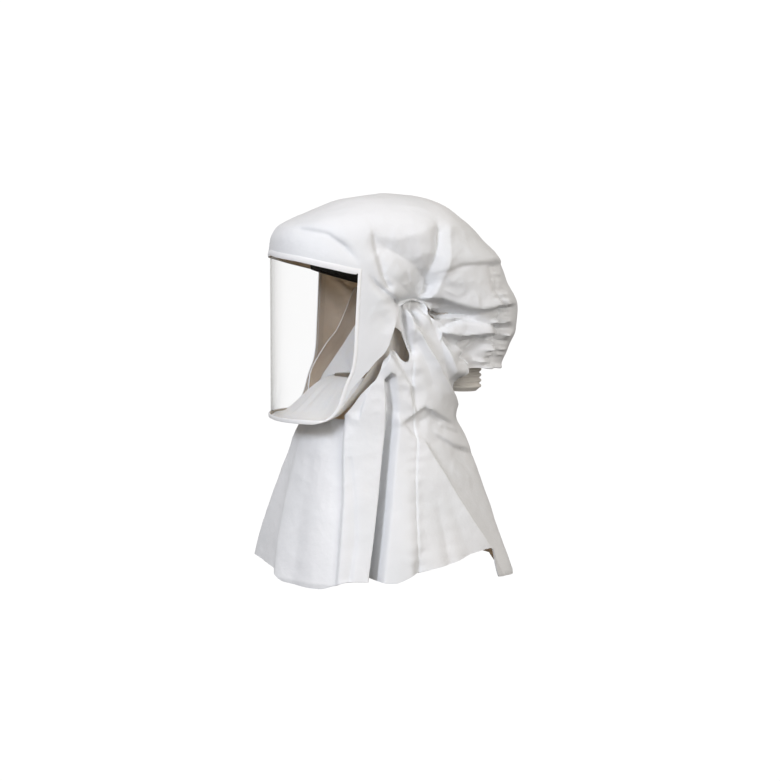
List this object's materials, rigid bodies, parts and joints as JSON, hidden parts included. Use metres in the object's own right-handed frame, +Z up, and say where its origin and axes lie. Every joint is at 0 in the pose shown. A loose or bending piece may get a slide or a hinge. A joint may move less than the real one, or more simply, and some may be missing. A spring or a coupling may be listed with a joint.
{
  "type": "respirator hood",
  "caption": "White coated-cloth respirator hood with a wide clear visor, head suspension, rear air duct with tube connector and an outer shroud over the shoulders.",
  "frame": {"origin": "top of the wearer's head under the crown strap", "axes": "+Z up, -Y the way the face looks, +X the wearer's left"},
  "size_m": [0.3435, 0.3463, 0.4864],
  "materials": {
    "coated_cloth": "matte",
    "inner_cloth": "matte",
    "lens": "gloss",
    "binding": "satin",
    "white_plastic": "satin",
    "black_foam": "matte",
    "strap_web": "matte"
  },
  "bodies": {
    "root": {"hood_shell": "coated_cloth", "visor": "lens", "visor_trim": "binding", "shroud": "coated_cloth", "inner_collar": "inner_cloth", "duct_base": "inner_cloth", "tube_connector": "white_plastic", "head_band": "black_foam", "crown_strap": "strap_web", "brow_bracket": "white_plastic"}
  },
  "joints": []
}
